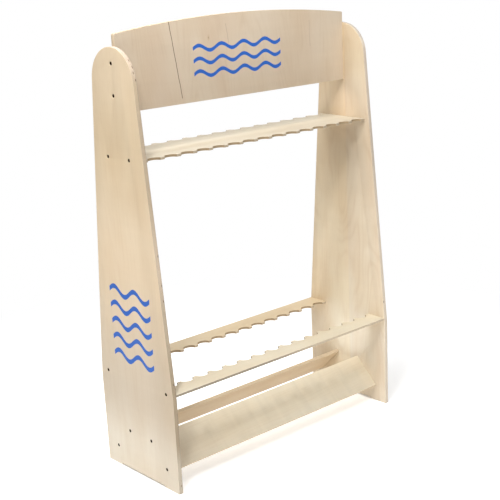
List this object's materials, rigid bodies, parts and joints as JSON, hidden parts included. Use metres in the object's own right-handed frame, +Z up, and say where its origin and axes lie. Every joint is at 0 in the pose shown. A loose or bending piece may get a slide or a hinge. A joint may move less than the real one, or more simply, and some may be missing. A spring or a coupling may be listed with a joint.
{
  "type": "fishing rod rack",
  "caption": "Free-standing plywood rack that holds fishing rods upright, with an arched header board, a notched shelf, notched lower rails and sloping butt boards.",
  "frame": {"origin": "on the floor under the middle of the rack, at the centre of its width and depth", "axes": "+X along the width to the viewer's right, +Y to the rear, +Z up"},
  "size_m": [0.8, 0.313, 1.1785],
  "materials": {
    "panel_birch": "clear matt birch plywood, grain upright",
    "header_birch": "clear matt birch plywood, grain upright, veneer seams",
    "shelf_birch": "clear matt birch plywood, grain lengthwise",
    "rail_birch": "clear matt birch plywood, grain lengthwise",
    "butt_birch": "clear matt birch plywood, mottled face",
    "screw_black": "black phosphate"
  },
  "bodies": {
    "root": {"left_side_panel": "panel_birch", "right_side_panel": "panel_birch", "header_board": "header_birch", "upper_rod_shelf": "shelf_birch", "front_rod_rail": "rail_birch", "rear_rod_rail": "rail_birch", "front_butt_board": "butt_birch", "rear_butt_board": "butt_birch", "header_screws_left": "screw_black", "header_screws_right": "screw_black", "shelf_screws_left": "screw_black", "shelf_screws_right": "screw_black", "front_rail_screw_left": "screw_black", "front_rail_screw_right": "screw_black", "rear_rail_screw_left": "screw_black", "rear_rail_screw_right": "screw_black", "front_butt_screws_left": "screw_black", "front_butt_screws_right": "screw_black", "rear_butt_screws_left": "screw_black", "rear_butt_screws_right": "screw_black"}
  },
  "joints": []
}
